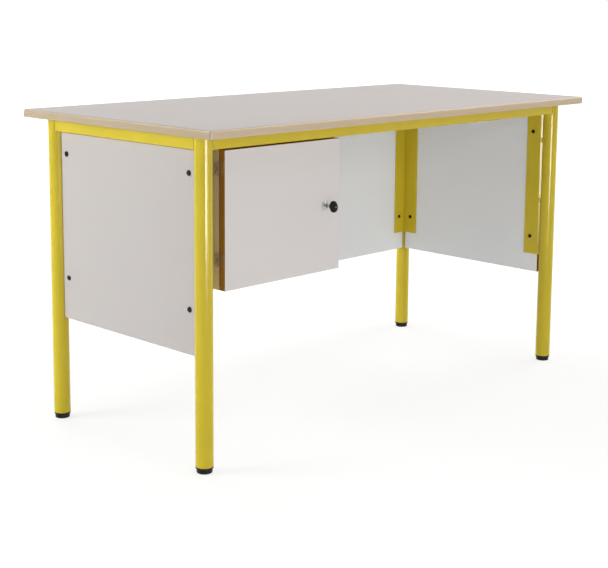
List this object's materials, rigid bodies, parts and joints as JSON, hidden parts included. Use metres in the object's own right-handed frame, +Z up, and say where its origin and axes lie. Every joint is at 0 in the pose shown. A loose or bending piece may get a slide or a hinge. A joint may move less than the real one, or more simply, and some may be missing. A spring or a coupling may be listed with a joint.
{
  "type": "teacher desk",
  "caption": "Classroom desk with a laminate top on a painted round-tube frame, bolted modesty panels and a lockable cupboard hung under one end.",
  "frame": {"origin": "On the floor, under the middle of the desktop.", "axes": "+X runs along the desk's length, away from the cupboard; -Y is the side on which the user sits; +Z is up."},
  "size_m": [1.38, 0.68, 0.76],
  "materials": {
    "grey_laminate": "melamine-faced chipboard, pale warm grey, fine satin texture, brown cut edges on door and panels",
    "lipping_wood": "lacquered beech edge lipping with a rounded arris",
    "fibreboard": "plain thin fibreboard",
    "yellow_paint": "glossy yellow powder coat on steel tube",
    "black_plastic": "black moulded plastic",
    "dark_steel": "blackened steel bolts",
    "hinge_steel": "dark bronzed steel",
    "lock_nickel": "nickel-plated lock parts",
    "zinc_steel": "bright zinc-plated steel"
  },
  "bodies": {
    "root": {"bolt_back_lower_back_left": "dark_steel", "bolt_back_lower_back_right": "dark_steel", "bolt_back_upper_back_left": "dark_steel", "bolt_back_upper_back_right": "dark_steel", "bolt_left_lower_back_left": "dark_steel", "bolt_left_lower_front_left": "dark_steel", "bolt_left_upper_back_left": "dark_steel", "bolt_left_upper_front_left": "dark_steel", "bolt_right_lower_back_right": "dark_steel", "bolt_right_lower_front_right": "dark_steel", "bolt_right_upper_back_right": "dark_steel", "bolt_right_upper_front_right": "dark_steel", "corner_angle_back_left": "yellow_paint", "corner_angle_back_right": "yellow_paint", "cupboard_angle_left_front": "zinc_steel", "cupboard_angle_left_rear": "zinc_steel", "cupboard_angle_right_front": "zinc_steel", "cupboard_angle_right_rear": "zinc_steel", "cupboard_back": "fibreboard", "cupboard_bottom": "grey_laminate", "cupboard_side_left": "grey_laminate", "cupboard_side_right": "grey_laminate", "desktop_board": "grey_laminate", "foot_back_left": "black_plastic", "foot_back_right": "black_plastic", "foot_front_left": "black_plastic", "foot_front_right": "black_plastic", "hinge_leaf_cupboard_lower": "hinge_steel", "hinge_leaf_cupboard_upper": "hinge_steel", "hinge_pin_lower": "hinge_steel", "hinge_pin_upper": "hinge_steel", "leg_back_left": "yellow_paint", "leg_back_right": "yellow_paint", "leg_front_left": "yellow_paint", "leg_front_right": "yellow_paint", "lipping_back": "lipping_wood", "lipping_front": "lipping_wood", "lipping_left": "lipping_wood", "lipping_right": "lipping_wood", "panel_back": "grey_laminate", "panel_bracket_front_left": "yellow_paint", "panel_bracket_front_right": "yellow_paint", "panel_left": "grey_laminate", "panel_right": "grey_laminate", "rail_back": "yellow_paint", "rail_front": "yellow_paint", "rail_left": "yellow_paint", "rail_right": "yellow_paint", "strike_plate": "zinc_steel"},
    "door": {"door": "grey_laminate", "hinge_leaf_door_lower": "hinge_steel", "hinge_leaf_door_upper": "hinge_steel", "lock_housing": "lock_nickel", "lock_nut": "zinc_steel"},
    "plug": {"lock_plug": "lock_nickel", "lock_cam": "zinc_steel", "lock_cam_screw": "zinc_steel"},
    "key": {"key_blade": "lock_nickel", "key_bow": "black_plastic"}
  },
  "joints": [
    {"name": "door_hinge", "type": "hinge", "parent": "root", "child": "door", "pos_m": [-0.5999, -0.2616, 0.5657], "axis": [0, 0, -1], "range_deg": [0, 110]},
    {"name": "lock_turn", "type": "hinge", "parent": "door", "child": "plug", "pos_m": [-0.286, -0.281, 0.55455], "axis": [0, -1, 0], "range_deg": [0, 90]},
    {"name": "key_slide", "type": "slide", "parent": "plug", "child": "key", "axis": [0, -1, 0], "range_m": [0, 0.024]}
  ]
}
